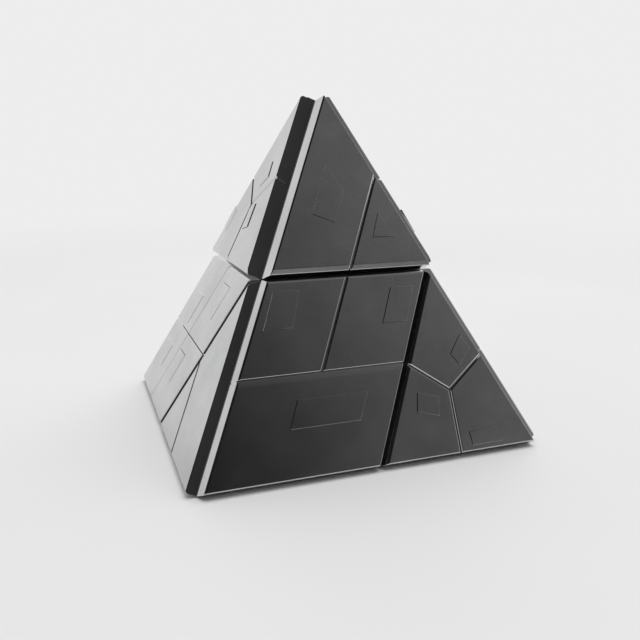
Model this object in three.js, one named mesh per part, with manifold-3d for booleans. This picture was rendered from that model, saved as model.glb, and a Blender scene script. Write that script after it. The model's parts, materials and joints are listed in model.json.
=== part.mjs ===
// Pyramid twisty puzzle: a square pyramid cut at half height. The top pyramid twists about the
// vertical axis, and a pinion under it drives four racks that slide the lower corner segments out.
// Millimetres, +Z up, origin at the centre of the base on the surface that the puzzle stands on.
import * as THREE from "three";
import { ConvexGeometry } from "three/addons/geometries/ConvexGeometry.js";
import { mergeVertices } from "three/addons/utils/BufferGeometryUtils.js";
import Module from "manifold-3d";

const wasm = await Module();
wasm.setup();

// ---- overall form: the sharp pyramid on which the face plates lie ----
const BASE_EDGE = 100;
const PYRAMID_HEIGHT = 100;

// ---- clearances ----
const JOINT_GAP = 0.3; // between pieces that slide or turn past each other
const BOND_GAP = 0.12; // glue line under the face plates and around pegs
const FLOOR_GAP = 0.45; // the sliding segments hang this far above the surface
const SCREW_CLEARANCE = 0.15; // radial, around every screw shank and head

// ---- face plates ----
const TOP_PLATE_THICKNESS = 4.8;
const LOWER_PLATE_THICKNESS = 3.0;
const TOP_LEAN = { left: 1.5, right: -0.5, cut: 1.0 }; // how far each wall leans in at full height
const LOWER_LEAN = { left: 1.4, right: 0.3, cut: 1.8, floor: 0.5 };
const GROOVE_WIDTH = 0.9;
const GROOVE_DEPTH = 0.8;
const TILE_HEIGHT = 0.3; // of the low tiles that stand on the panels
const TILE_ROOT = 0.3; // how deep a tile's root reaches into its panel

// ---- base ----
const PAD_THICKNESS = 1.0;
const PLATE_MARGIN = 7; // from the pyramid's base edge to the base plate
const PAD_MARGIN = 4; // from the base plate's edge to the pad
const BASE_PLATE_THICKNESS = 2.5;
const RAIL_LENGTH = 30;
const RAIL_MARGIN = 11; // from the base plate's edge to the middle of a guide rail
const RAIL_END_MARGIN = 5; // from the base plate's edge to the end of a rail
const RAIL_STEM = { width: 3, height: 1.6 };
const RAIL_HEAD = { width: 6, height: 1.6 };

// ---- mechanism bay in the middle of the base ----
const PILLAR_RADIUS = 2.6;
const PILLAR_RIM = 0.4; // of the bridge, beyond its pillars
const BRIDGE_THICKNESS = 3.05;
const BAY_GAP = 1; // round the bridge

// ---- gear train ----
const PINION_TEETH = 16;
const GEAR_MODULE = 1;
const PRESSURE_ANGLE = THREE.MathUtils.degToRad(20);
const BACKLASH = 0.2; // taken off each tooth at the pitch line
const RACK_HEIGHT = 3.5;
const RACK_BACK = 6; // from the pitch line to the back of the rack
const RACK_TRAVEL = 12.6;
const RACK_FOOT = { length: 8, width: 7.4 }; // the fastened end
const RACK_LEAD = 5; // teeth before the contact point at rest
const RACK_SPACING = 0.4; // height between the two levels of racks
const WASHER_THICKNESS = 0.6;
const UPPER_WASHER_THICKNESS = 0.4;
const WASHER_RADIUS = 6;
const RING_THICKNESS = 0.6;
const RING_RADIUS = 4.8;
const RING_GROOVE_DEPTH = 0.5;
const RUNNING_GAP = 0.1; // axial play between washers, ring and pinion

// ---- drive shaft ----
const SHAFT_RADIUS = 4;
const JOURNAL_RADIUS = 2.6;
const SHAFT_SQUARE = 5.4;
const SQUARE_CLEARANCE = 0.2;

// ---- screws ----
const SCREW = { shank: 1.1, head: 2.4, headHeight: 1.3, length: 9 };
const RACK_SCREW_LENGTH = 5; // above the rack
const TENSION_SCREW = { shank: 1.5, head: 4, headHeight: 2.4, thread: 8 };

// ---- segments and top shell ----
const WALL = 3;
const SEGMENT_FLOOR = 5; // thickness of the slab that the guide groove is cut in
const CAVITY_DROP = 14; // from the cut, and from the apex, down to a hollow's ceiling
const TOP_WALL = 2.8;
const COVER_THICKNESS = 2.6;
const TIP_WIDTH = 0.8; // flat on top of the pyramid core, hidden between the plates
const PEG_RADIUS = 1.8;
const PEG_OFFSET = 14;
const PEG_LENGTH = 9;
const BOSS_RADIUS = 3.2;
const BOSS_LENGTH = 16;
const CUP_RADIUS = 6.6;
const CUP_WALL = 1.6;
const CUP_HEIGHT = 5;
const SPRING = { radius: 3.4, wire: 0.45, turns: 4.5, length: 7 };
const STOP_RADIUS = 16; // circle on which the twist stop peg travels
const STOP_PEG_RADIUS = 1.6;
const STOP_PEG_LENGTH = 2.6;
const TWIST = Math.PI / 2;

// ---- derived heights ----
const CUT_HEIGHT = PYRAMID_HEIGHT / 2;
const SIDE_RUN = BASE_EDGE / 2 / PYRAMID_HEIGHT; // inward run of a face per unit of height
const SLANT = Math.hypot(PYRAMID_HEIGHT, BASE_EDGE / 2);
const FACE_ANGLE = Math.atan2(PYRAMID_HEIGHT, BASE_EDGE / 2);
const PLAN_PER_NORMAL = SLANT / PYRAMID_HEIGHT; // horizontal distance for one unit along a face normal
const PLATE_BOTTOM = PAD_THICKNESS + RUNNING_GAP;
const PLATE_TOP = PLATE_BOTTOM + BASE_PLATE_THICKNESS;
const SEGMENT_BOTTOM = PLATE_TOP + JOINT_GAP;
const LOWER_WASHER_Z = PLATE_TOP + RUNNING_GAP;
const RING_Z = LOWER_WASHER_Z + WASHER_THICKNESS + RUNNING_GAP;
const PINION_Z = RING_Z + RING_THICKNESS + RUNNING_GAP;
const PINION_FACE = 2 * RACK_HEIGHT + RACK_SPACING + 2 * RUNNING_GAP;
const PINION_TOP = PINION_Z + PINION_FACE;
const UPPER_WASHER_Z = PINION_TOP + RUNNING_GAP;
const BRIDGE_Z = UPPER_WASHER_Z + UPPER_WASHER_THICKNESS + RUNNING_GAP;
const BRIDGE_TOP = BRIDGE_Z + BRIDGE_THICKNESS;
const TOP_BOTTOM = CUT_HEIGHT + JOINT_GAP / 2;
const HUB_TOP = CUT_HEIGHT - JOINT_GAP / 2;
const COVER_TOP = TOP_BOTTOM + COVER_THICKNESS;
const PITCH_RADIUS = (PINION_TEETH * GEAR_MODULE) / 2;
const TOOTH_PITCH = Math.PI * GEAR_MODULE;
const ADDENDUM = 0.95 * GEAR_MODULE; // a tooth's tip beyond the pitch line
const DEDENDUM = 1.25 * GEAR_MODULE; // a tooth's root inside the pitch line
const ROOT_REACH = PITCH_RADIUS + DEDENDUM; // from the shaft's axis to a rack's root line

// ---- derived plan sizes ----
const BASE_PLATE_HALF = BASE_EDGE / 2 - PLATE_MARGIN;
const RAIL_OFFSET = BASE_PLATE_HALF - RAIL_MARGIN;
const RAIL_START = -(BASE_PLATE_HALF - RAIL_END_MARGIN);
const PILLAR_OFFSET = PITCH_RADIUS + RACK_BACK + 4 * JOINT_GAP + PILLAR_RADIUS;
const BRIDGE_HALF = PILLAR_OFFSET + PILLAR_RADIUS + PILLAR_RIM;
const BAY_HALF = BRIDGE_HALF + BAY_GAP;
const BAY_CEILING = BRIDGE_TOP + JOINT_GAP;
const RACK_FOOT_START = BAY_HALF + JOINT_GAP;
const RACK_TAIL = RACK_FOOT_START + RACK_FOOT.length;

// ---- solids ----
function solid(geometry) {
  const bare = geometry.clone();
  bare.deleteAttribute("normal");
  bare.deleteAttribute("uv");
  const merged = mergeVertices(bare, 1e-4);
  return new wasm.Manifold(
    new wasm.Mesh({
      numProp: 3,
      vertProperties: merged.attributes.position.array,
      triVerts: new Uint32Array(merged.index.array),
    }),
  );
}

function geometryOf(body) {
  const mesh = body.getMesh();
  const geometry = new THREE.BufferGeometry();
  geometry.setAttribute("position", new THREE.BufferAttribute(mesh.vertProperties, 3));
  geometry.setIndex(new THREE.BufferAttribute(mesh.triVerts, 1));
  const faceted = geometry.toNonIndexed();
  faceted.computeVertexNormals();
  return faceted;
}

const join = (...bodies) => bodies.reduce((sum, body) => sum.add(body));
const cut = (body, ...tools) => tools.reduce((rest, tool) => rest.subtract(tool), body);

function hull(points) {
  return solid(new ConvexGeometry(points.map((p) => new THREE.Vector3(...p))));
}

// A box given by its low and high corners.
function block(low, high) {
  const size = high.map((value, axis) => value - low[axis]);
  const geometry = new THREE.BoxGeometry(...size);
  geometry.translate(...low.map((value, axis) => value + size[axis] / 2));
  return solid(geometry);
}

// A round bar along Z.
function rod(radius, low, high, x = 0, y = 0, sides = 32) {
  const geometry = new THREE.CylinderGeometry(radius, radius, high - low, sides);
  geometry.rotateX(Math.PI / 2);
  geometry.translate(x, y, (low + high) / 2);
  return solid(geometry);
}

// An outline, as a list of [x, y], carried up from one height to another.
function column(outline, low, high) {
  const shape = new THREE.Shape(outline.map(([x, y]) => new THREE.Vector2(x, y)));
  const geometry = new THREE.ExtrudeGeometry(shape, { depth: high - low, bevelEnabled: false });
  geometry.translate(0, 0, low);
  return solid(geometry);
}

// A straight-sided solid between two heights; section(z) gives its [x0, x1, y0, y1] there.
function tapered(low, high, section) {
  const corners = [low, high].flatMap((z) => {
    const [x0, x1, y0, y1] = section(z);
    return [[x0, y0, z], [x1, y0, z], [x1, y1, z], [x0, y1, z]];
  });
  return hull(corners);
}

const square = (half) => [-half, half, -half, half];

// ---- gear teeth ----
// Half of a tooth's angle at a radius, for an involute flank on the pinion's base circle.
function toothHalfAngle(radius) {
  const baseRadius = PITCH_RADIUS * Math.cos(PRESSURE_ANGLE);
  const involute = (angle) => Math.tan(angle) - angle;
  const here = involute(Math.acos(Math.min(1, baseRadius / Math.max(radius, baseRadius))));
  const halfAtPitch = Math.PI / 2 / PINION_TEETH - BACKLASH / 2 / PITCH_RADIUS;
  return halfAtPitch + involute(PRESSURE_ANGLE) - here;
}

function pinionOutline() {
  const root = PITCH_RADIUS - DEDENDUM;
  const tip = PITCH_RADIUS + ADDENDUM;
  const steps = 5;
  const outline = [];
  for (let tooth = 0; tooth < PINION_TEETH; tooth++) {
    const middle = (tooth / PINION_TEETH) * 2 * Math.PI;
    for (const side of [-1, 1]) {
      for (let step = 0; step <= steps; step++) {
        const share = side < 0 ? step / steps : 1 - step / steps;
        const radius = root + (tip - root) * share;
        const angle = middle + side * toothHalfAngle(radius);
        outline.push([radius * Math.cos(angle), radius * Math.sin(angle)]);
      }
    }
  }
  return outline;
}

// How far a segment's rack is shifted so that one of its spaces meets the pinion's nearest tooth.
function meshShift(index) {
  const teethRound = (PINION_TEETH * (index - 1)) / 4;
  return -TOOTH_PITCH * THREE.MathUtils.euclideanModulo(teethRound, 1);
}

// A rack as it lies in the front-left segment, with its teeth facing +Y.
function rackOutline(shift) {
  const tip = -PITCH_RADIUS + ADDENDUM;
  const root = -ROOT_REACH;
  const back = -PITCH_RADIUS - RACK_BACK;
  const slope = Math.tan(PRESSURE_ANGLE);
  const halfPitchWidth = TOOTH_PITCH / 4 - BACKLASH / 2;
  const firstTooth = -Math.ceil(RACK_LEAD / TOOTH_PITCH) + 0.5;
  const lastTooth = Math.floor(RACK_TRAVEL / TOOTH_PITCH) + 1.5;
  const end = (lastTooth + 0.5) * TOOTH_PITCH + shift;
  const foot = root - RACK_FOOT.width;
  const outline = [
    [-RACK_TAIL, foot], [-RACK_FOOT_START, foot], [-RACK_FOOT_START, back], [end, back], [end, root],
  ];
  for (let tooth = lastTooth; tooth >= firstTooth; tooth--) {
    const middle = tooth * TOOTH_PITCH + shift;
    const halfRoot = halfPitchWidth + (-PITCH_RADIUS - root) * slope;
    const halfTip = halfPitchWidth - (tip + PITCH_RADIUS) * slope;
    outline.push([middle + halfRoot, root], [middle + halfTip, tip]);
    outline.push([middle - halfTip, tip], [middle - halfRoot, root]);
  }
  outline.push([-RACK_TAIL, root]);
  return outline;
}

const rackBottom = (level) => PINION_Z + RUNNING_GAP + level * (RACK_HEIGHT + RACK_SPACING);

// ---- screws, washers and the like ----
// A pan screw pointing up, its head below the given height.
function screw({ shank, head, headHeight }, seat, length, x = 0, y = 0) {
  const driveWidth = head * 0.6;
  const body = join(
    rod(head, seat - headHeight, seat, x, y, 24),
    rod(shank, seat - headHeight / 2, seat + length, x, y, 24),
  );
  const recess = rod(driveWidth / 2, seat - headHeight - 1, seat - headHeight / 2, x, y, 6);
  return cut(body, recess);
}

function screwHole({ shank, head, headHeight }, seat, length, x, y) {
  return join(
    rod(head + SCREW_CLEARANCE, seat - 4 * headHeight, seat + SCREW_CLEARANCE / 2, x, y, 24),
    rod(shank + SCREW_CLEARANCE, seat - headHeight, seat + length + 0.5, x, y, 24),
  );
}

const ringSolid = (inner, outer, low, high) => cut(rod(outer, low, high), rod(inner, low - 1, high + 1));

// ---- base group ----
function antiSlipPad() {
  const half = BASE_PLATE_HALF - PAD_MARGIN;
  const corner = 6;
  const outline = [
    [half - corner, -half], [half, -half + corner], [half, half - corner], [half - corner, half],
    [-half + corner, half], [-half, half - corner], [-half, -half + corner], [-half + corner, -half],
  ];
  return column(outline, 0, PAD_THICKNESS);
}

const screwSeat = PLATE_BOTTOM + SCREW.headHeight + 0.1;

// Calls make(x, y) at the four corners of a square.
function atCorners(offset, make) {
  const signs = [[-1, -1], [1, -1], [1, 1], [-1, 1]];
  return signs.map(([x, y]) => make(x * offset, y * offset));
}

// T-section guide rail for the front-left segment, grown by a clearance where it is cut as a groove.
function rail(clearance, from, to, low) {
  const stem = RAIL_STEM.width / 2 + clearance;
  const head = RAIL_HEAD.width / 2 + clearance;
  const neck = PLATE_TOP + RAIL_STEM.height - clearance;
  const top = PLATE_TOP + RAIL_STEM.height + RAIL_HEAD.height + clearance;
  return join(
    block([from, -RAIL_OFFSET - stem, low], [to, -RAIL_OFFSET + stem, top]),
    block([from, -RAIL_OFFSET - head, neck], [to, -RAIL_OFFSET + head, top]),
  );
}

function basePlate() {
  const half = BASE_PLATE_HALF;
  const sheet = block([-half, -half, PLATE_BOTTOM], [half, half, PLATE_TOP]);
  const rails = [0, 1, 2, 3].map((turn) =>
    rail(0, RAIL_START, RAIL_START + RAIL_LENGTH, PLATE_BOTTOM + 0.5).rotate([0, 0, 90 * turn]),
  );
  const holes = atCorners(PILLAR_OFFSET, (x, y) => screwHole(SCREW, screwSeat, SCREW.length, x, y));
  const bearing = rod(JOURNAL_RADIUS + RUNNING_GAP, PLATE_BOTTOM + 0.6, PLATE_TOP + 1);
  return cut(join(sheet, ...rails), ...holes, bearing);
}

// Inverted pyramid between the four segments, with the bridge over the pinion and its pillars.
function coreHub() {
  const half = (z) => SIDE_RUN * z - JOINT_GAP;
  const wedge = tapered(BRIDGE_TOP - 0.5, HUB_TOP, (z) => square(half(z)));
  const bridge = block(
    [-BRIDGE_HALF, -BRIDGE_HALF, BRIDGE_Z],
    [BRIDGE_HALF, BRIDGE_HALF, BRIDGE_TOP],
  );
  const pillars = atCorners(PILLAR_OFFSET, (x, y) =>
    rod(PILLAR_RADIUS, PLATE_TOP + RUNNING_GAP, BRIDGE_Z + 1, x, y, 24),
  );
  const holeTop = screwSeat + SCREW.length + 0.5;
  const holes = atCorners(PILLAR_OFFSET, (x, y) =>
    rod(SCREW.shank + SCREW_CLEARANCE, 0, holeTop, x, y, 24),
  );
  const bore = rod(SHAFT_RADIUS + JOINT_GAP, 0, PYRAMID_HEIGHT);
  return cut(join(wedge, bridge, ...pillars), ...holes, bore, stopSlot());
}

// Arc slot in the top of the hub: its two ends are the stops of the twist.
function stopSlot() {
  const halfWidth = STOP_PEG_RADIUS + JOINT_GAP;
  const margin = Math.asin(halfWidth / STOP_RADIUS);
  const start = Math.PI / 4 - TWIST - margin;
  const end = Math.PI / 4 + margin;
  const shape = new THREE.Shape();
  shape.absarc(0, 0, STOP_RADIUS + halfWidth, start, end, false);
  shape.absarc(0, 0, STOP_RADIUS - halfWidth, end, start, true);
  shape.closePath();
  const depth = STOP_PEG_LENGTH + 2 * JOINT_GAP;
  const geometry = new THREE.ExtrudeGeometry(shape, {
    depth: depth + 1,
    bevelEnabled: false,
    curveSegments: 24,
  });
  geometry.translate(0, 0, HUB_TOP - depth);
  return solid(geometry);
}

// ---- drive group ----
function squareBar(width, low, high) {
  return block([-width / 2, -width / 2, low], [width / 2, width / 2, high]);
}

function driveShaft() {
  const shoulder = HUB_TOP - 2;
  const body = join(
    rod(JOURNAL_RADIUS, PLATE_BOTTOM + 0.9, PINION_Z + 1),
    squareBar(SHAFT_SQUARE, PINION_Z - RUNNING_GAP / 2, BRIDGE_Z + 1),
    rod(SHAFT_RADIUS, BRIDGE_Z, shoulder),
    squareBar(SHAFT_SQUARE, shoulder - 1, COVER_TOP + 0.4),
  );
  const grooveFloor = JOURNAL_RADIUS - RING_GROOVE_DEPTH;
  const ringGroove = ringSolid(
    grooveFloor, JOURNAL_RADIUS + 2, RING_Z - 0.05, RING_Z + RING_THICKNESS + 0.05,
  );
  const threadRadius = TENSION_SCREW.shank + SCREW_CLEARANCE;
  const thread = rod(threadRadius, COVER_TOP - TENSION_SCREW.thread, COVER_TOP + 5, 0, 0, 24);
  return cut(body, ringGroove, thread);
}

function pinion() {
  const bore = squareBar(SHAFT_SQUARE + 2 * SQUARE_CLEARANCE, PINION_Z - 1, PINION_TOP + 1);
  return cut(column(pinionOutline(), PINION_Z, PINION_TOP), bore);
}

function retainingRing() {
  const opening = hull([
    [0, 0, RING_Z - 1], [9, -5, RING_Z - 1], [9, 5, RING_Z - 1],
    [0, 0, RING_Z + 2], [9, -5, RING_Z + 2], [9, 5, RING_Z + 2],
  ]);
  const inner = JOURNAL_RADIUS - RING_GROOVE_DEPTH + RUNNING_GAP;
  return cut(ringSolid(inner, RING_RADIUS, RING_Z, RING_Z + RING_THICKNESS), opening);
}

// ---- top group ----
const springSeat = COVER_TOP + 0.6;
const tensionWasherZ = springSeat + SPRING.length + 0.2;
const tensionSeat = tensionWasherZ + WASHER_THICKNESS + RUNNING_GAP;

function topBaseCover() {
  const half = (z) => (PYRAMID_HEIGHT - z) * SIDE_RUN - (TOP_WALL + BOND_GAP * 2) * PLAN_PER_NORMAL;
  const sheet = tapered(TOP_BOTTOM, COVER_TOP, (z) => square(half(z)));
  const pegs = atCorners(PEG_OFFSET, (x, y) =>
    rod(PEG_RADIUS, COVER_TOP - 1, COVER_TOP + PEG_LENGTH, x, y, 20),
  );
  const cup = ringSolid(CUP_RADIUS - CUP_WALL, CUP_RADIUS, COVER_TOP - 1, COVER_TOP + CUP_HEIGHT);
  const diagonal = STOP_RADIUS * Math.SQRT1_2;
  const pegBottom = HUB_TOP - STOP_PEG_LENGTH;
  const stopPeg = rod(STOP_PEG_RADIUS, pegBottom, TOP_BOTTOM + 1, diagonal, diagonal, 20);
  const socket = squareBar(SHAFT_SQUARE + 2 * SQUARE_CLEARANCE, TOP_BOTTOM - 1, COVER_TOP + 1);
  return cut(join(sheet, ...pegs, cup, stopPeg), socket);
}

function tensionScrew() {
  const top = tensionSeat + TENSION_SCREW.headHeight;
  const body = join(
    rod(TENSION_SCREW.head, tensionSeat, top, 0, 0, 32),
    rod(TENSION_SCREW.shank, COVER_TOP - TENSION_SCREW.thread + 1, tensionSeat + 1, 0, 0, 24),
  );
  return cut(body, rod(TENSION_SCREW.head * 0.4, top - 1.4, top + 1, 0, 0, 6));
}

class Helix extends THREE.Curve {
  getPoint(share, target = new THREE.Vector3()) {
    const angle = share * SPRING.turns * 2 * Math.PI;
    const height = springSeat + SPRING.wire + share * (SPRING.length - 2 * SPRING.wire);
    return target.set(SPRING.radius * Math.cos(angle), SPRING.radius * Math.sin(angle), height);
  }
}

function tensionSpring() {
  const section = new THREE.Shape();
  section.absarc(0, 0, SPRING.wire, 0, 2 * Math.PI, false);
  const geometry = new THREE.ExtrudeGeometry(section, {
    steps: Math.round(SPRING.turns * 16),
    curveSegments: 4,
    bevelEnabled: false,
    extrudePath: new Helix(),
  });
  return solid(geometry);
}

// Pyramid shell under the four top plates, open below.
function topShell() {
  const outerHalf = (z) => (PYRAMID_HEIGHT - z) * SIDE_RUN - BOND_GAP * PLAN_PER_NORMAL;
  const innerHalf = (z) => outerHalf(z) - TOP_WALL * PLAN_PER_NORMAL;
  const tip = PYRAMID_HEIGHT - TIP_WIDTH / 2 / SIDE_RUN;
  const outside = tapered(TOP_BOTTOM, tip, (z) => square(outerHalf(z)));
  const cavity = tapered(TOP_BOTTOM - 1, PYRAMID_HEIGHT - CAVITY_DROP, (z) => square(innerHalf(z)));
  const bosses = atCorners(PEG_OFFSET, (x, y) =>
    rod(BOSS_RADIUS, COVER_TOP + JOINT_GAP, COVER_TOP + BOSS_LENGTH, x, y, 24),
  );
  const holes = atCorners(PEG_OFFSET, (x, y) =>
    rod(PEG_RADIUS + BOND_GAP, COVER_TOP - 1, COVER_TOP + PEG_LENGTH + 0.5, x, y, 20),
  );
  const bossesInside = join(...bosses).intersect(outside);
  return cut(join(cut(outside, cavity), bossesInside), ...holes);
}

// ---- lower segments, drawn as the front-left one, which slides towards -X ----
const RACK_SCREW_X = -RACK_TAIL + RACK_FOOT.length / 2;
const RACK_SCREW_Y = -ROOT_REACH - RACK_FOOT.width / 2;

function segmentShell(level) {
  const skin = BOND_GAP * PLAN_PER_NORMAL;
  const outer = (z) => -BASE_EDGE / 2 + SIDE_RUN * z + skin;
  const towardsNeighbour = (z) => SIDE_RUN * z - JOINT_GAP / 2;
  const inner = (z) => -SIDE_RUN * z - JOINT_GAP / 2;
  const ridge = CUT_HEIGHT - TIP_WIDTH;
  const prism = tapered(FLOOR_GAP, ridge, (z) => [outer(z), towardsNeighbour(z), outer(z), inner(z)]);
  const bay = block([-BAY_HALF, -BAY_HALF, -1], [BASE_EDGE, BASE_EDGE, BAY_CEILING]);
  const seatHalf = BASE_PLATE_HALF + JOINT_GAP;
  const plateSeat = block([-seatHalf, -seatHalf, -1], [seatHalf, seatHalf, SEGMENT_BOTTOM]);
  const cavityFloor = SEGMENT_BOTTOM + SEGMENT_FLOOR;
  const wall = WALL * PLAN_PER_NORMAL;
  const cavity = tapered(cavityFloor, CUT_HEIGHT - CAVITY_DROP, (z) => [
    outer(z) + wall, towardsNeighbour(z) - wall, outer(z) + wall, -BAY_HALF + 1,
  ]);
  const groove = rail(JOINT_GAP, RAIL_START - JOINT_GAP, BASE_EDGE / 2, SEGMENT_BOTTOM - 1);
  const rackTop = rackBottom(level) + RACK_HEIGHT;
  const rackSlot = block(
    [-RACK_TAIL - BOND_GAP, -ROOT_REACH - RACK_FOOT.width - BOND_GAP, SEGMENT_BOTTOM - 1],
    [-BAY_HALF + 1, -ROOT_REACH + BOND_GAP, rackTop + BOND_GAP],
  );
  const threadRadius = SCREW.shank + SCREW_CLEARANCE;
  const threadTop = rackTop + RACK_SCREW_LENGTH;
  const thread = rod(threadRadius, rackTop - 1, threadTop, RACK_SCREW_X, RACK_SCREW_Y, 24);
  return cut(prism, bay, plateSeat, cavity, groove, rackSlot, thread);
}

const rackScrewSeat = (level) => rackBottom(level) + SCREW.headHeight + 0.1;

function rackScrewLength(level) {
  const insideRack = rackBottom(level) + RACK_HEIGHT - rackScrewSeat(level);
  return insideRack + RACK_SCREW_LENGTH - 1;
}

function rack(level, index) {
  const low = rackBottom(level);
  const seat = rackScrewSeat(level);
  const hole = screwHole(SCREW, seat, rackScrewLength(level), RACK_SCREW_X, RACK_SCREW_Y);
  return cut(column(rackOutline(meshShift(index)), low, low + RACK_HEIGHT), hole);
}

// ---- face plates, drawn flat: X along the base edge, Y up the slope, Z out of the face ----
const MID = SLANT / 2;
const QUARTER = BASE_EDGE / 4;
const OUTLINES = {
  top: {
    points: [[QUARTER, MID], [3 * QUARTER, MID], [2 * QUARTER, SLANT]],
    walls: ["cut", "right", "left"],
  },
  lozenge: {
    points: [[0, 0], [2 * QUARTER, 0], [3 * QUARTER, MID], [QUARTER, MID]],
    walls: ["floor", "right", "cut", "left"],
  },
  wedge: {
    points: [[2 * QUARTER, 0], [4 * QUARTER, 0], [3 * QUARTER, MID]],
    walls: ["floor", "right", "left"],
  },
};

function average(points) {
  const total = (axis) => points.reduce((sum, point) => sum + point[axis], 0);
  return [total(0) / points.length, total(1) / points.length];
}

// Moves each side of a convex polygon inwards by its own distance.
function inset(points, distances) {
  const sides = points.map((from, i) => {
    const to = points[(i + 1) % points.length];
    const length = Math.hypot(to[0] - from[0], to[1] - from[1]);
    const inward = [-(to[1] - from[1]) / length, (to[0] - from[0]) / length];
    return { inward, reach: inward[0] * from[0] + inward[1] * from[1] + distances[i] };
  });
  return points.map((_, i) => {
    const a = sides[(i + points.length - 1) % points.length];
    const b = sides[i];
    const cross = a.inward[0] * b.inward[1] - a.inward[1] * b.inward[0];
    return [
      (a.reach * b.inward[1] - b.reach * a.inward[1]) / cross,
      (a.inward[0] * b.reach - b.inward[0] * a.reach) / cross,
    ];
  });
}

const lift = (points, height) => points.map(([x, y]) => [x, y, height]);

// The panels of each plate, as its corners and the middles of its sides divide it.
function panelsOf(name, style) {
  const corner = OUTLINES[name].points;
  const middle = corner.map((from, i) => average([from, corner[(i + 1) % corner.length]]));
  const centre = average(corner);
  const star = corner.map((point, i) => [
    point, middle[i], centre, middle[(i + corner.length - 1) % corner.length],
  ]);
  const panels = {
    "top-plain": [[corner[0], middle[0], middle[1], corner[2]], [middle[0], corner[1], middle[1]]],
    "top-star": star,
    "wedge-plain": [[corner[0], middle[0], middle[2]], [middle[0], corner[1], corner[2], middle[2]]],
    "wedge-star": star,
    "lozenge-star": star,
    "lozenge-plain": [
      [corner[0], corner[1], middle[1], centre, middle[3]],
      [middle[3], centre, middle[2], corner[3]],
      [centre, middle[1], corner[2], middle[2]],
    ],
  };
  return panels[`${name}-${style}`];
}

// Tile outlines, as percentages of the base edge across and of the slant height up.
const TILES = {
  "top-plain": [
    [[41, 65], [47.5, 62.5], [52, 71], [47.7, 79]],
    [[58.3, 58], [65.7, 58], [61.4, 65]],
  ],
  "top-star": [
    [[31.5, 58], [35.5, 57], [37.8, 63.7], [34, 65]],
    [[52.4, 59.4], [57.5, 60.5], [55.5, 67.3], [51.5, 65.5]],
    [[51.2, 71.8], [56, 75], [53.5, 79.5], [49.5, 76]],
  ],
  "lozenge-plain": [
    [[26, 12], [46.3, 12], [49.8, 19], [29.2, 19]],
    [[22.4, 36.3], [31, 36.3], [34.6, 46], [26.8, 46]],
    [[57.5, 35.5], [65.4, 35.5], [69.6, 45], [62, 45]],
  ],
  "lozenge-star": [
    [[12.2, 10.2], [22, 10.2], [25.3, 18.2], [15.7, 18.2]],
    [[32.5, 10.2], [41.4, 10.2], [45.9, 20.2], [37, 20.2]],
    [[47.5, 33.5], [56, 33.5], [61.2, 44.2], [52.4, 44.2]],
    [[22.6, 27], [31.6, 27], [36.3, 37], [27.3, 37]],
  ],
  "wedge-plain": [],
  "wedge-star": [
    [[63.3, 12], [70.2, 10.3], [71, 15.5], [64.4, 17]],
    [[78.8, 1.8], [89, 1.8], [87.3, 6], [78.3, 5.5]],
    [[77.1, 25.8], [79.6, 22.4], [84, 27], [81.4, 30.8]],
  ],
};

// V-groove along one shared side of two panels.
function groove(from, to, thickness) {
  const length = Math.hypot(to[0] - from[0], to[1] - from[1]);
  const along = [(to[0] - from[0]) / length, (to[1] - from[1]) / length];
  const start = [from[0] - along[0] * GROOVE_WIDTH / 4, from[1] - along[1] * GROOVE_WIDTH / 4];
  const end = [to[0] + along[0] * GROOVE_WIDTH / 4, to[1] + along[1] * GROOVE_WIDTH / 4];
  const rim = thickness + 0.5;
  const halfRim = (GROOVE_WIDTH / 2) * ((rim - thickness + GROOVE_DEPTH) / GROOVE_DEPTH);
  const points = [start, end].flatMap(([x, y]) => [
    [x, y, thickness - GROOVE_DEPTH],
    [x - along[1] * halfRim, y + along[0] * halfRim, rim],
    [x + along[1] * halfRim, y - along[0] * halfRim, rim],
  ]);
  return hull(points);
}

const same = (a, b) => Math.hypot(a[0] - b[0], a[1] - b[1]) < 1e-6;

function groovesOf(panels, thickness) {
  const sides = panels.flatMap((panel) => panel.map((from, i) => [from, panel[(i + 1) % panel.length]]));
  const shared = sides.filter(([from, to], i) =>
    sides.some(([otherFrom, otherTo], j) => j > i && same(from, otherTo) && same(to, otherFrom)),
  );
  return shared.map(([from, to]) => groove(from, to, thickness));
}

function facePlate(name, style) {
  const { points, walls } = OUTLINES[name];
  const thickness = name === "top" ? TOP_PLATE_THICKNESS : LOWER_PLATE_THICKNESS;
  const lean = name === "top" ? TOP_LEAN : LOWER_LEAN;
  const floorInset = FLOOR_GAP * SLANT / PYRAMID_HEIGHT;
  const foot = walls.map((wall) => (wall === "floor" ? floorInset : JOINT_GAP / 2));
  const rim = walls.map((wall) => lean[wall]);
  const body = hull([...lift(inset(points, foot), 0), ...lift(inset(points, rim), thickness)]);
  const panels = panelsOf(name, style);
  const tiles = TILES[`${name}-${style}`].map((corners) => {
    const outline = corners.map(([across, up]) => [(across / 100) * BASE_EDGE, (up / 100) * SLANT]);
    return hull([...lift(outline, thickness - TILE_ROOT), ...lift(outline, thickness + TILE_HEIGHT)]);
  });
  return join(cut(body, ...groovesOf(panels, thickness)), ...tiles);
}

// ---- materials ----
function finish(color, roughness, metalness) {
  return new THREE.MeshStandardMaterial({ color, roughness, metalness });
}

const MATERIALS = {
  plate: finish(0x9a9b9d, 0.3, 1),
  shell: finish(0x232426, 0.6, 0),
  hub: finish(0x2e3033, 0.6, 0),
  rubber: finish(0x141414, 0.9, 0),
  nylon: finish(0xd8d4c8, 0.5, 0),
  steel: finish(0x9a9c9f, 0.3, 1),
};

function part(name, body, material) {
  const mesh = new THREE.Mesh(geometryOf(body), MATERIALS[material]);
  mesh.name = name;
  return mesh;
}

// ---- assembly ----
const SIDES = ["front", "right", "back", "left"];
const CORNERS = ["front_left", "front_right", "back_right", "back_left"];
const styleOf = (side) => (side % 2 === 0 ? "plain" : "star");

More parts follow.
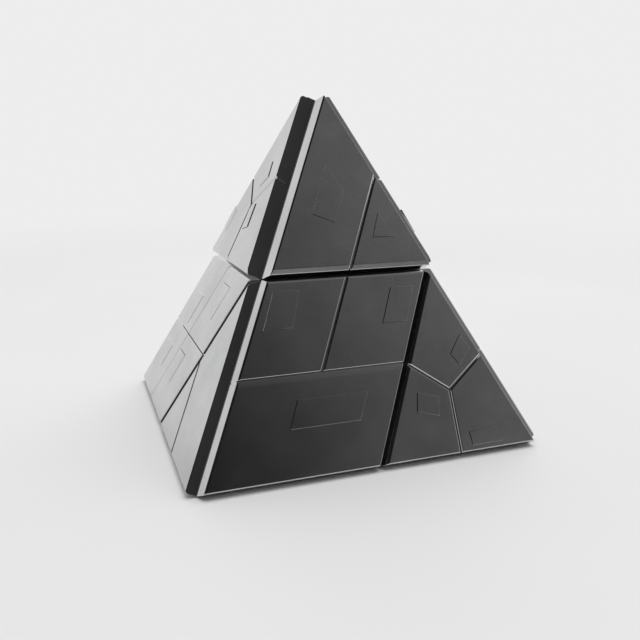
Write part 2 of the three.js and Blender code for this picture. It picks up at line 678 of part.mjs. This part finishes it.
// A group whose X runs along a face's base edge, Y up its slope and Z out of it.
function faceFrame(side) {
  const face = new THREE.Group();
  face.position.set(-BASE_EDGE / 2, -BASE_EDGE / 2, 0);
  face.rotation.x = FACE_ANGLE;
  const turned = new THREE.Group();
  turned.rotation.z = (side * Math.PI) / 2;
  turned.add(face);
  return { turned, face };
}

function platedFace(side, name, plateName, style) {
  const { turned, face } = faceFrame(side);
  const mesh = part(plateName, facePlate(name, style), "plate");
  mesh.position.z = BOND_GAP / 2;
  face.add(mesh);
  return turned;
}

function baseGroup() {
  const group = new THREE.Group();
  group.add(part("anti_slip_pad", antiSlipPad(), "rubber"));
  group.add(part("base_plate", basePlate(), "hub"));
  group.add(part("core_hub", coreHub(), "hub"));
  const screws = atCorners(PILLAR_OFFSET, (x, y) => screw(SCREW, screwSeat, SCREW.length, x, y));
  screws.forEach((body, i) => group.add(part(`hub_screw_${i + 1}`, body, "steel")));
  const washer = ringSolid(
    JOURNAL_RADIUS + 0.2, WASHER_RADIUS, LOWER_WASHER_Z, LOWER_WASHER_Z + WASHER_THICKNESS,
  );
  group.add(part("lower_thrust_washer", washer, "nylon"));
  return group;
}

function topGroup() {
  const group = new THREE.Group();
  group.add(part("top_shell", topShell(), "shell"));
  group.add(part("top_base_cover", topBaseCover(), "hub"));
  group.add(part("drive_shaft", driveShaft(), "steel"));
  group.add(part("drive_pinion", pinion(), "nylon"));
  group.add(part("retaining_ring", retainingRing(), "steel"));
  const upper = ringSolid(
    SHAFT_RADIUS + 0.2, WASHER_RADIUS, UPPER_WASHER_Z, UPPER_WASHER_Z + UPPER_WASHER_THICKNESS,
  );
  group.add(part("upper_thrust_washer", upper, "nylon"));
  const pressure = ringSolid(
    TENSION_SCREW.shank + 0.3, SPRING.radius + 1, tensionWasherZ, tensionWasherZ + WASHER_THICKNESS,
  );
  group.add(part("tension_washer", pressure, "steel"));
  group.add(part("tension_spring", tensionSpring(), "steel"));
  group.add(part("tension_screw", tensionScrew(), "steel"));
  SIDES.forEach((label, side) => {
    group.add(platedFace(side, "top", `top_plate_${label}`, styleOf(side)));
  });
  return group;
}

function segmentGroup(index) {
  const label = CORNERS[index];
  const level = index % 2;
  const group = new THREE.Group();
  const core = new THREE.Group();
  core.rotation.z = (index * Math.PI) / 2;
  core.add(part(`segment_shell_${label}`, segmentShell(level), "shell"));
  core.add(part(`rack_${label}`, rack(level, index), "nylon"));
  const seat = rackScrewSeat(level);
  const fastener = screw(SCREW, seat, rackScrewLength(level), RACK_SCREW_X, RACK_SCREW_Y);
  core.add(part(`rack_screw_${label}`, fastener, "steel"));
  const wedgeSide = (index + 3) % 4;
  const wedgeStyle = wedgeSide % 2 === 0 ? "star" : "plain";
  group.add(core);
  group.add(platedFace(index, "lozenge", `lozenge_plate_${label}`, styleOf(index)));
  group.add(platedFace(wedgeSide, "wedge", `wedge_plate_${label}`, wedgeStyle));
  return group;
}

const puzzle = new THREE.Group();
puzzle.add(baseGroup(), topGroup());
CORNERS.forEach((_, index) => puzzle.add(segmentGroup(index)));

export default puzzle;
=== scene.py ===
"""Looks of the pyramid twisty puzzle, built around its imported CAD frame.

Every face plate is rebuilt from separate chamfered panels with raised tiles. The shells, gears and
screws keep their CAD shape and get moulded-plastic, nylon, rubber and steel materials.
The object's sizes are in millimetres until mm() or face_matrix() turns them into metres. The floor and
the lamp are in metres.
"""

import json
import math

import bmesh
import bpy
from mathutils import Matrix, Vector


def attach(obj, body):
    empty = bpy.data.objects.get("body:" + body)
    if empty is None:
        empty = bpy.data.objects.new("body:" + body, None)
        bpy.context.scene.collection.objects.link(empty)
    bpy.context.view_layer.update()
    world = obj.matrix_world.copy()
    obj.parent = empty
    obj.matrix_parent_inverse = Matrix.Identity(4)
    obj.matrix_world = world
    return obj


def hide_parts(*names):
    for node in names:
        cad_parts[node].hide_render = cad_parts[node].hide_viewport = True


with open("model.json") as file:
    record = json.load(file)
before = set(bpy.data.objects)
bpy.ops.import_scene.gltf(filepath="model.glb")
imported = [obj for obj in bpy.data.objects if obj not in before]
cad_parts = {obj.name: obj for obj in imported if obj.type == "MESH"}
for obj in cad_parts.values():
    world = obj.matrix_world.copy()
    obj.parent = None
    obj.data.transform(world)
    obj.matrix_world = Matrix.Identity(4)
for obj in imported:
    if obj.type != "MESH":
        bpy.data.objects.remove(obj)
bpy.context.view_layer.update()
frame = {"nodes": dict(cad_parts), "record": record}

# ---- form: the CAD plates' sizes, except that the sides at the horizontal cut lean less ----
BASE_EDGE = 100.0
PYRAMID_HEIGHT = 100.0
SLANT = math.hypot(PYRAMID_HEIGHT, BASE_EDGE / 2)
FACE_ANGLE = math.atan2(PYRAMID_HEIGHT, BASE_EDGE / 2)
GLUE_LINE = 0.06
FOOT = 0.15  # how far a plate's underside stays clear of the cut planes
FLOOR_CLEARANCE = 0.45  # height over the floor at which the plates' undersides start
FLOOR_FOOT = FLOOR_CLEARANCE * SLANT / PYRAMID_HEIGHT
THICKNESS = {"top": 4.8, "lozenge": 3.0, "wedge": 3.0}  # lozenges and wedges are the lower plates
LEAN = {  # how far in each side stands at the plate's outer face, before its chamfer
    "top": {"left": 1.5, "right": -0.5, "cut": -0.2},
    "lozenge": {"left": 1.4, "right": 0.3, "cut": 1.66, "floor": 0.5},
    "wedge": {"left": 1.4, "right": 0.3, "floor": 0.5},
}

# ---- fine shape of the panels ----
GROOVE_WIDTH = 0.34
GROOVE_DEPTH = 0.8
PANEL_CHAMFER = 0.3
STEP_WIDTH = 1.6  # shallow slope along the lower panels' upper edge
STEP_DROP = 0.1
STEP_LIP = 0.08  # chamfer of the panel above that slope
EDGE_CHAMFER = 0.45  # depth of the chamfers along a plate's outline and along its grooves
EDGE_WIDTH = {  # how far in the chamfer along each side of the outline reaches
    "top": {"left": 0.27, "right": 0.11, "cut": 1.47},
    "lozenge": {"left": 0.27, "right": 0.11, "cut": 0.41, "floor": 0.27},
    "wedge": {"left": 0.5, "right": 0.11, "floor": 0.27},
}
EDGE_ROUND = 0.2
EDGE_SEGMENTS = 3
SQUARE_BELOW = 0.2  # edges in this share of a solid's height, from its underside, stay square
TILE_HEIGHT = 0.4
TILE_ROOT = 0.4  # how far a tile reaches down into its panel
TILE_DRAFT = 0.3  # inward slope of a tile's sides, as a share of its height
TILE_ROUND = 0.12
BACKING_INSET = 0.1  # how far the slab behind the panels stands in from them
BACKING_LIFT = 0.02
BACKING_ROUND = 0.05
# The next two pick the faces of a plate's right wall that get painted shade.
WALL_REACH = 1.0  # a face this close to a plate's side belongs to its wall
WALL_FACING = 0.3  # and such a face points outwards by more than this share, and upwards by less
SMOOTH_ANGLE = math.radians(30)  # edges flatter than this are shaded smooth
COPLANAR = math.radians(0.5)  # edges flatter than this are dissolved
NEARNESS = 1e-6  # how far apart two places may be that count as one

# ---- camera ----
CAMERA_PLACE = (-74.5, -212.3, 86.4)
CAMERA_FORWARD = (0.3261, 0.914, -0.2414)
CAMERA_ROLL = math.radians(-0.17)
LENS = 39.6
SENSOR_WIDTH = 36.0

# ---- floor and light ----
FLOOR_RADIUS = 6.0
FLOOR_SIDES = 96
FLOOR_GREYS = ((0.78, 0.78, 0.78), (0.81, 0.81, 0.81))
FLOOR_MOTTLE = 180.0  # millimetres across
FLOOR_FADE = (0.12, 0.75)  # metres from the object over which the floor turns into the backdrop
BACKDROP = 0.85  # what the camera sees behind the object
ROOM_LOW = 0.87  # the pale surroundings, from the floor up to ROOM_EDGE
ROOM_EDGE = (0.27, 0.38)  # height of a direction at which they give way to the dark room above
ROOM_BACK = 0.5  # how much higher they reach behind the object
ROOM_FRONT = 0.22  # the pale surroundings on the front side, where they are darker
ROOM_TURN = (-0.5, 0.1)  # Y of a direction, over which ROOM_FRONT gives way to ROOM_LOW
ROOM_SLOPE = (0.38, 0.0, 0.25)  # the dark room grows brighter to the right and upwards
ROOM_OFFSET = -0.167  # added to what that slope gives
ROOM_DARKEST = 0.012
LAMP_PLACE = (0.1, 0.1, 1.2)
LAMP_TARGET = (0, 0, 0.04)
LAMP_SIZE = 1.7
LAMP_WATTS = 19.5


def mm(*values):
    """Millimetres as metres: one number, or a vector of several."""
    scaled = [value / 1000.0 for value in values]
    return scaled[0] if len(scaled) == 1 else Vector(scaled)


# ---- plane geometry, in a face's own axes: X along its base edge, Y up its slope ----
QUARTER = BASE_EDGE / 4
MID = SLANT / 2
OUTLINES = {
    "top": [(QUARTER, MID), (3 * QUARTER, MID), (2 * QUARTER, SLANT)],
    "lozenge": [(0, 0), (2 * QUARTER, 0), (3 * QUARTER, MID), (QUARTER, MID)],
    "wedge": [(2 * QUARTER, 0), (4 * QUARTER, 0), (3 * QUARTER, MID)],
}
WALLS = {
    "top": ["cut", "right", "left"],
    "lozenge": ["floor", "right", "cut", "left"],
    "wedge": ["floor", "right", "left"],
}


def between(a, b):
    return ((a[0] + b[0]) / 2, (a[1] + b[1]) / 2)


def average(points):
    return tuple(sum(p[axis] for p in points) / len(points) for axis in (0, 1))


def inward_of(start, end):
    """Unit normal of a side, pointing into a polygon that runs anticlockwise."""
    length = math.dist(start, end)
    return (-(end[1] - start[1]) / length, (end[0] - start[0]) / length)


def inset(points, distances):
    """Moves each side of a convex polygon inwards by its own distance."""
    sides = []
    for index, start in enumerate(points):
        normal = inward_of(start, points[(index + 1) % len(points)])
        sides.append((normal, normal[0] * start[0] + normal[1] * start[1] + distances[index]))
    moved = []
    for index in range(len(points)):
        (ax, ay), reach_a = sides[index - 1]
        (bx, by), reach_b = sides[index]
        cross = ax * by - ay * bx
        moved.append(((reach_a * by - reach_b * ay) / cross, (ax * reach_b - bx * reach_a) / cross))
    return moved


def on_line(point, start, end):
    normal = inward_of(start, end)
    return abs(normal[0] * (point[0] - start[0]) + normal[1] * (point[1] - start[1])) < NEARNESS


def panels_of(name, style):
    """A plate's panels, as its corners, the middles of its sides and its centre divide it."""
    corner = OUTLINES[name]
    middle = [between(point, corner[(i + 1) % len(corner)]) for i, point in enumerate(corner)]
    centre = average(corner)
    if style == "star":
        return [[point, middle[i], centre, middle[i - 1]] for i, point in enumerate(corner)]
    if name == "top":
        return [
            [corner[0], middle[0], middle[1], corner[2]],
            [middle[0], corner[1], middle[1]],
        ]
    if name == "wedge":
        return [
            [corner[0], middle[0], middle[2]],
            [middle[0], corner[1], corner[2], middle[2]],
        ]
    return [
        [corner[0], corner[1], middle[1], middle[3]],
        [middle[3], centre, middle[2], corner[3]],
        [centre, middle[1], corner[2], middle[2]],
    ]


# Tile outlines, as percentages of the base edge across and of the slant height up.
TILES = {
    ("top", "plain"): [
        [(41, 65), (47.5, 62.5), (52, 71), (47.7, 79)],
        [(58.3, 58), (65.7, 58), (61.4, 65)],
    ],
    ("top", "star"): [
        [(31.5, 58), (35.5, 57), (37.8, 63.7), (34, 65)],
        [(52.4, 59.4), (57.5, 60.5), (55.5, 67.3), (51.5, 65.5)],
        [(51.2, 71.8), (56, 75), (53.5, 79.5), (49.5, 76)],
    ],
    ("lozenge", "plain"): [
        [(26, 12), (46.3, 12), (49.8, 19), (29.2, 19)],
        [(22.4, 36.3), (31, 36.3), (34.6, 46), (26.8, 46)],
        [(57.5, 35.5), (65.4, 35.5), (69.6, 45), (62, 45)],
    ],
    ("lozenge", "star"): [
        [(12.2, 10.2), (22, 10.2), (25.3, 18.2), (15.7, 18.2)],
        [(32.5, 10.2), (41.4, 10.2), (45.9, 20.2), (37, 20.2)],
        [(47.5, 33.5), (56, 33.5), (61.2, 44.2), (52.4, 44.2)],
        [(22.6, 27), (31.6, 27), (36.3, 37), (27.3, 37)],
    ],
    ("wedge", "plain"): [],
    ("wedge", "star"): [
        [(63.3, 12), (70.2, 10.3), (71, 15.5), (64.4, 17)],
        [(78.8, 1.8), (89, 1.8), (87.3, 6), (78.3, 5.5)],
        [(77.1, 25.8), (79.6, 22.4), (84, 27), (81.4, 30.8)],
    ],
}


def wall_of(name, start, end):
    """Which of the plate's own walls a panel's side lies on, or None for a side it shares."""
    outline = OUTLINES[name]
    for index, wall in enumerate(WALLS[name]):
        a, b = outline[index], outline[(index + 1) % len(outline)]
        if on_line(start, a, b) and on_line(end, a, b):
            return wall
    return None


# ---- mesh building ----
def add_hull(mesh, levels, rounding, segments=2):
    """Adds the convex solid through several outlines, each at its own height, with rounded edges."""
    top = max(height for _, height in levels)
    bottom = min(height for _, height in levels)
    square_to = bottom + (top - bottom) * SQUARE_BELOW
    solid = bmesh.new()
    for outline, height in levels:
        for x, y in outline:
            solid.verts.new((x, y, height))
    bmesh.ops.convex_hull(solid, input=solid.verts)
    bmesh.ops.dissolve_limit(solid, angle_limit=COPLANAR, verts=solid.verts, edges=solid.edges)
    rounded = [edge for edge in solid.edges if max(vert.co.z for vert in edge.verts) > square_to]
    bmesh.ops.bevel(
        solid, geom=rounded, offset=rounding, offset_type="OFFSET", segments=segments,
        profile=0.5, affect="EDGES", clamp_overlap=True,
    )
    bmesh.ops.recalc_face_normals(solid, faces=solid.faces)
    part = bpy.data.meshes.new("part")
    solid.to_mesh(part)
    solid.free()
    mesh.from_mesh(part)
    bpy.data.meshes.remove(part)


def foot_of(wall):
    return FLOOR_FOOT if wall == "floor" else FOOT


def wall_profile(name, wall):
    """How far a plate's own wall stands in at its foot, below its chamfer, near the rim and at it."""
    low = foot_of(wall)
    knee = low + (LEAN[name][wall] - low) * (1 - EDGE_CHAMFER / THICKNESS[name])
    rim = LEAN[name][wall] + EDGE_WIDTH[name][wall]
    return low, knee, rim + (knee - rim) * STEP_DROP / EDGE_CHAMFER, rim


def shared_profile(outline, start, level):
    """The same for a side along a groove. A panel below a level groove slopes gently down to it."""
    side = GROOVE_WIDTH / 2
    if level and average(outline)[1] < start[1]:
        return side, side, side, side + STEP_WIDTH
    chamfer = STEP_LIP if level else PANEL_CHAMFER
    return side, side, side + chamfer * (1 - STEP_DROP / EDGE_CHAMFER), side + chamfer


def add_panel(mesh, name, outline):
    """Adds one panel, whose sides lean and slope as their walls and grooves do."""
    profiles = []
    for index, start in enumerate(outline):
        end = outline[(index + 1) % len(outline)]
        wall = wall_of(name, start, end)
        if wall is None:
            level = name == "lozenge" and abs(start[1] - end[1]) < NEARNESS
            profiles.append(shared_profile(outline, start, level))
        else:
            profiles.append(wall_profile(name, wall))
    top = THICKNESS[name]
    heights = (0, top - EDGE_CHAMFER, top - STEP_DROP, top)
    levels = [(inset(outline, distances), z) for distances, z in zip(zip(*profiles), heights)]
    add_hull(mesh, levels, EDGE_ROUND, segments=EDGE_SEGMENTS)


def add_tile(mesh, corners, thickness):
    foot = [(across / 100 * BASE_EDGE, up / 100 * SLANT) for across, up in corners]
    rim = inset(foot, [TILE_HEIGHT * TILE_DRAFT] * len(foot))
    add_hull(mesh, [(foot, thickness - TILE_ROOT), (rim, thickness + TILE_HEIGHT)], TILE_ROUND)


def add_backing(mesh, name):
    """The slab behind the panels, which shows at the bottom of the grooves."""
    depth = THICKNESS[name] - GROOVE_DEPTH
    foot = [foot_of(wall) + BACKING_INSET for wall in WALLS[name]]
    leaning = [LEAN[name][wall] * depth / THICKNESS[name] + BACKING_INSET for wall in WALLS[name]]
    rim = [max(pair) for pair in zip(foot, leaning)]
    levels = [(inset(OUTLINES[name], foot), BACKING_LIFT), (inset(OUTLINES[name], rim), depth)]
    add_hull(mesh, levels, BACKING_ROUND)


def face_matrix(side):
    """From a face's own axes, in millimetres, to the row frame, in metres."""
    place = Matrix.Translation((-BASE_EDGE / 2, -BASE_EDGE / 2, 0))
    slope = Matrix.Rotation(FACE_ANGLE, 4, "X") @ Matrix.Translation((0, 0, GLUE_LINE))
    turn = Matrix.Rotation(side * math.pi / 2, 4, "Z")
    return Matrix.Scale(mm(1), 4) @ turn @ place @ slope


def object_of(name, mesh, *materials):
    data = bpy.data.meshes.new(name)
    mesh.to_mesh(data)
    mesh.free()
    for material in materials:
        data.materials.append(material)
    data.shade_smooth()
    made = bpy.data.objects.new(name, data)
    bpy.context.scene.collection.objects.link(made)
    data.set_sharp_from_angle(angle=SMOOTH_ANGLE)
    made.modifiers.new("flat faces", "WEIGHTED_NORMAL").keep_sharp = True
    return made


def paint_shade_on_right_wall(mesh, name):
    """Gives the second material, a near-black coat of painted shade, to the wall along a plate's right
    side, where the groove beside the next plate lies in shade.
    """
    outline = OUTLINES[name]
    index = WALLS[name].index("right")
    start = outline[index]
    inward = Vector((*inward_of(start, outline[(index + 1) % len(outline)]), 0))
    for face in mesh.faces:
        away = inward.dot(face.calc_center_median() - Vector((*start, 0)))
        outward = face.normal.dot(inward) < -WALL_FACING
        if outward and face.normal.z < WALL_FACING and away < WALL_REACH:
            face.material_index = 1


def build_plate(node, name, style, side, body):
    """One face plate, whose right wall is painted dark as shade. No reflection shows it, so a bright wall
    doesn't mirror the dark one beside it.
    """
    mesh = bmesh.new()
    add_backing(mesh, name)
    for outline in panels_of(name, style):
        add_panel(mesh, name, outline)
    for corners in TILES[name, style]:
        add_tile(mesh, corners, THICKNESS[name])
    mesh.normal_update()
    paint_shade_on_right_wall(mesh, name)
    mesh.transform(face_matrix(side))
    plate = object_of(f"{node}_detail", mesh, PLATE, PAINTED_SHADE_WALL)
    plate.visible_glossy = False
    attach(plate, body)
    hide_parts(node)


# ---- materials ----
def new_material(name):
    material = bpy.data.materials.new(name)
    material.use_nodes = True
    nodes = material.node_tree.nodes
    return material, nodes, material.node_tree.links, nodes["Principled BSDF"]


def add_node(nodes, kind, **settings):
    """Adds a node. A setting is one of its properties or else the value of one of its inputs."""
    node = nodes.new(kind)
    for key, value in settings.items():
        if hasattr(node, key):
            setattr(node, key, value)
        else:
            node.inputs[key].default_value = value
    return node


def noise(nodes, links, coordinates, size_mm, detail=3.0, roughness=0.55):
    """A noise whose features are about size_mm across."""
    scale = 1 / mm(size_mm)
    node = add_node(nodes, "ShaderNodeTexNoise", Scale=scale, Detail=detail, Roughness=roughness)
    links.new(coordinates, node.inputs["Vector"])
    return node.outputs["Fac"]


def remap(nodes, links, source, low, high, start=0.3, end=0.7, curve="LINEAR"):
    """Turns start to end into low to high. The defaults suit a noise, most of which is between them."""
    node = add_node(nodes, "ShaderNodeMapRange", interpolation_type=curve)
    links.new(source, node.inputs["Value"])
    for key, value in (("From Min", start), ("From Max", end), ("To Min", low), ("To Max", high)):
        node.inputs[key].default_value = value
    return node.outputs["Result"]


def mix_colour(nodes, links, factor, a, b):
    node = add_node(nodes, "ShaderNodeMix", data_type="RGBA")
    links.new(factor, node.inputs["Factor"])
    for key, value in (("A", a), ("B", b)):
        socket = next(s for s in node.inputs if s.name == key and s.type == "RGBA")
        if hasattr(value, "links"):
            links.new(value, socket)
        else:
            socket.default_value = (*value, 1)
    return next(s for s in node.outputs if s.type == "RGBA")


def edge_mask(nodes, links, width_mm):
    """1 along convex and concave edges and 0 on flats, from the angle of a bevelled normal."""
    bevel = add_node(nodes, "ShaderNodeBevel", samples=4, Radius=mm(width_mm))
    geometry = add_node(nodes, "ShaderNodeNewGeometry")
    dot = add_node(nodes, "ShaderNodeVectorMath", operation="DOT_PRODUCT")
    links.new(bevel.outputs["Normal"], dot.inputs[0])
    links.new(geometry.outputs["Normal"], dot.inputs[1])
    return remap(nodes, links, dot.outputs["Value"], 1, 0, start=0.85, end=0.995)


def bump(nodes, links, height, distance_mm):
    node = add_node(nodes, "ShaderNodeBump", Strength=1.0, Distance=mm(distance_mm))
    links.new(height, node.inputs["Height"])
    return node.outputs["Normal"]


def shade(colour, factor):
    return tuple(channel * factor for channel in colour)


def moulded(name, colour, worn, rough, grain_mm, grain_depth_mm, metallic=0.0, specular=0.5):
    """Moulded or coated surface: mottled colour, uneven gloss, fine grain and paler worn edges."""
    material, nodes, links, shader = new_material(name)
    place = add_node(nodes, "ShaderNodeTexCoord").outputs["Object"]
    cloud = noise(nodes, links, place, size_mm=14)
    grain = noise(nodes, links, place, grain_mm, detail=2.0)
    mottled = mix_colour(nodes, links, remap(nodes, links, cloud, 0, 1), shade(colour, 0.82), colour)
    specks = remap(nodes, links, grain, 0, 0.35, start=0.5, end=0.75)
    speckled = mix_colour(nodes, links, specks, mottled, shade(colour, 1.3))
    edges = edge_mask(nodes, links, width_mm=0.25)
    links.new(mix_colour(nodes, links, edges, speckled, worn), shader.inputs["Base Color"])
    links.new(remap(nodes, links, cloud, rough * 0.9, rough * 1.12), shader.inputs["Roughness"])
    links.new(bump(nodes, links, grain, grain_depth_mm), shader.inputs["Normal"])
    shader.inputs["Metallic"].default_value = metallic
    shader.inputs["Specular IOR Level"].default_value = specular
    return material


def brushed(name, colour):
    """Turned steel: fine rings of scratches round the vertical axis and a little uneven gloss."""
    material, nodes, links, shader = new_material(name)
    place = add_node(nodes, "ShaderNodeTexCoord").outputs["Object"]
    stretch = add_node(nodes, "ShaderNodeMapping")
    stretch.inputs["Scale"].default_value = (1, 1, 12)
    links.new(place, stretch.inputs["Vector"])
    scratches = noise(nodes, links, stretch.outputs["Vector"], size_mm=1.2, detail=5.0, roughness=0.7)
    cloud = noise(nodes, links, place, size_mm=4)
    mottled = mix_colour(nodes, links, remap(nodes, links, cloud, 0, 1), shade(colour, 0.8), colour)
    links.new(mottled, shader.inputs["Base Color"])
    links.new(remap(nodes, links, scratches, 0.22, 0.42), shader.inputs["Roughness"])
    links.new(bump(nodes, links, scratches, distance_mm=0.01), shader.inputs["Normal"])
    shader.inputs["Metallic"].default_value = 1.0
    return material


PLATE = moulded(
    "satin_plate", (0.6, 0.602, 0.606), (0.7, 0.702, 0.706),
    rough=0.16, grain_mm=0.35, grain_depth_mm=0.0015, metallic=1.0,
)
# Painted shade: a near-black matte coat for each plate's right wall, in place of the shade in the groove
# beside the next plate.
PAINTED_SHADE_WALL = moulded(
    "painted_shade_wall", (0.03, 0.03, 0.031), (0.05, 0.05, 0.051),
    rough=0.5, grain_mm=0.35, grain_depth_mm=0.004,
)
SHELL = moulded(
    "black_shell", (0.018, 0.018, 0.019), (0.045, 0.045, 0.047),
    rough=0.5, grain_mm=0.5, grain_depth_mm=0.012,
)
HUB = moulded(
    "grey_hub", (0.03, 0.031, 0.033), (0.06, 0.061, 0.064),
    rough=0.48, grain_mm=0.6, grain_depth_mm=0.012,
)
RUBBER = moulded(
    "pad_rubber", (0.012, 0.012, 0.012), (0.03, 0.03, 0.03),
    rough=0.8, grain_mm=0.8, grain_depth_mm=0.05, specular=0.3,
)
NYLON = moulded(
    "gear_nylon", (0.68, 0.65, 0.57), (0.78, 0.76, 0.7),
    rough=0.42, grain_mm=0.7, grain_depth_mm=0.01,
)
STEEL = brushed("turned_steel", (0.5, 0.51, 0.52))
SLOT_MATERIALS = {
    "plate": PLATE,
    "shell": SHELL,
    "hub": HUB,
    "rubber": RUBBER,
    "nylon": NYLON,
    "steel": STEEL,
}


def finish_cad_nodes():
    """Gives every CAD node the material of its slot in the record."""
    for row in frame["record"]["subparts"]:
        node = frame["nodes"][row["node"]]
        node.data.materials.clear()
        node.data.materials.append(SLOT_MATERIALS[row["material_slot"]])


def build_plates():
    """Patterns alternate from face to face: tops and lozenges are plain in front, and wedges are stars."""
    sides = ["front", "right", "back", "left"]
    corners = ["front_left", "front_right", "back_right", "back_left"]
    for side, label in enumerate(sides):
        style = "plain" if side % 2 == 0 else "star"
        build_plate(f"top_plate_{label}", "top", style, side, "top")
    for index, label in enumerate(corners):
        body = f"segment_{label}"
        wedge_side = (index + 3) % 4  # the face before the one that has the segment's lozenge
        style = "plain" if index % 2 == 0 else "star"
        wedge_style = "star" if wedge_side % 2 == 0 else "plain"
        build_plate(f"lozenge_plate_{label}", "lozenge", style, index, body)
        build_plate(f"wedge_plate_{label}", "wedge", wedge_style, wedge_side, body)


# ---- stage ----
def build_floor():
    """A round floor that fades into the backdrop, so no horizon shows."""
    mesh = bmesh.new()
    bmesh.ops.create_circle(mesh, cap_ends=True, segments=FLOOR_SIDES, radius=FLOOR_RADIUS)
    material, nodes, links, shader = new_material("pale_floor")
    place = add_node(nodes, "ShaderNodeTexCoord").outputs["Object"]
    cloud = remap(nodes, links, noise(nodes, links, place, FLOOR_MOTTLE), 0, 1)
    links.new(mix_colour(nodes, links, cloud, *FLOOR_GREYS), shader.inputs["Base Color"])
    shader.inputs["Roughness"].default_value = 0.6
    shader.inputs["Specular IOR Level"].default_value = 0.1
    glow = add_node(nodes, "ShaderNodeEmission", Strength=BACKDROP)
    distance = add_node(nodes, "ShaderNodeVectorMath", operation="LENGTH")
    links.new(place, distance.inputs[0])
    fade = remap(nodes, links, distance.outputs["Value"], 0, 1, *FLOOR_FADE, curve="SMOOTHERSTEP")
    mix = add_node(nodes, "ShaderNodeMixShader")
    links.new(fade, mix.inputs[0])
    links.new(shader.outputs[0], mix.inputs[1])
    links.new(glow.outputs[0], mix.inputs[2])
    links.new(mix.outputs[0], nodes["Material Output"].inputs["Surface"])
    object_of("floor", mesh, material)


def math_node(nodes, links, operation, a, b):
    node = add_node(nodes, "ShaderNodeMath", operation=operation)
    for socket, value in zip(node.inputs, (a, b)):
        if hasattr(value, "links"):
            links.new(value, socket)
        else:
            socket.default_value = value
    return node.outputs[0]


def room_level(nodes, links):
    """Brightness of the surroundings in each direction: pale low down and dark above."""
    direction = add_node(nodes, "ShaderNodeTexCoord").outputs["Generated"]
    axes = add_node(nodes, "ShaderNodeSeparateXYZ")
    links.new(direction, axes.inputs[0])
    depth = axes.outputs["Y"]
    height = axes.outputs["Z"]
    drop = math_node(nodes, links, "MULTIPLY", depth, -ROOM_BACK)
    lowered = math_node(nodes, links, "ADD", height, math_node(nodes, links, "MINIMUM", drop, 0))
    pale = remap(nodes, links, lowered, 1, 0, *ROOM_EDGE)
    slope = add_node(nodes, "ShaderNodeVectorMath", operation="DOT_PRODUCT")
    slope.inputs[1].default_value = ROOM_SLOPE
    links.new(direction, slope.inputs[0])
    dark = math_node(nodes, links, "ADD", slope.outputs["Value"], ROOM_OFFSET)
    level = add_node(nodes, "ShaderNodeMix", data_type="FLOAT")
    links.new(pale, level.inputs["Factor"])
    links.new(math_node(nodes, links, "MAXIMUM", dark, ROOM_DARKEST), level.inputs["A"])
    links.new(remap(nodes, links, depth, ROOM_FRONT, ROOM_LOW, *ROOM_TURN), level.inputs["B"])
    return level.outputs[0]


def build_world():
    """The room as reflections and diffuse light see it. The camera sees one even backdrop."""
    world = bpy.data.worlds.new("studio")
    world.use_nodes = True
    nodes, links = world.node_tree.nodes, world.node_tree.links
    nodes.clear()
    room = add_node(nodes, "ShaderNodeBackground", Color=(1, 1, 1, 1))
    links.new(room_level(nodes, links), room.inputs["Strength"])
    backdrop = add_node(nodes, "ShaderNodeBackground", Color=(1, 1, 1, 1), Strength=BACKDROP)
    rays = add_node(nodes, "ShaderNodeLightPath")
    mix = add_node(nodes, "ShaderNodeMixShader")
    output = add_node(nodes, "ShaderNodeOutputWorld")
    links.new(rays.outputs["Is Camera Ray"], mix.inputs[0])
    links.new(room.outputs[0], mix.inputs[1])
    links.new(backdrop.outputs[0], mix.inputs[2])
    links.new(mix.outputs[0], output.inputs["Surface"])
    world.cycles.sampling_method = "NONE"
    bpy.context.scene.world = world


def build_lamp():
    """A wide lamp overhead for diffuse light. Glossy surfaces mirror the room and not this lamp."""
    data = bpy.data.lights.new("overhead_softbox", "AREA")
    data.shape = "SQUARE"
    data.size = LAMP_SIZE
    data.energy = LAMP_WATTS
    lamp = bpy.data.objects.new("overhead_softbox", data)
    lamp.location = LAMP_PLACE
    aim = Vector(LAMP_TARGET) - Vector(LAMP_PLACE)
    lamp.rotation_euler = aim.to_track_quat("-Z", "Y").to_euler()
    lamp.visible_camera = False
    lamp.visible_glossy = False
    bpy.context.scene.collection.objects.link(lamp)


def build_camera():
    data = bpy.data.cameras.new("camera")
    data.lens = LENS
    data.sensor_width = SENSOR_WIDTH
    data.dof.use_dof = False
    camera = bpy.data.objects.new("camera", data)
    camera.location = mm(*CAMERA_PLACE)
    look = Vector(CAMERA_FORWARD).to_track_quat("-Z", "Y").to_matrix().to_4x4()
    camera.rotation_euler = (look @ Matrix.Rotation(CAMERA_ROLL, 4, "Z")).to_euler()
    bpy.context.scene.collection.objects.link(camera)
    bpy.context.scene.camera = camera


def set_view():
    """Plain colour response, so that the pale surroundings stay pale."""
    bpy.context.scene.view_settings.view_transform = "Standard"


finish_cad_nodes()
build_plates()
build_floor()
build_world()
build_lamp()
build_camera()
set_view()
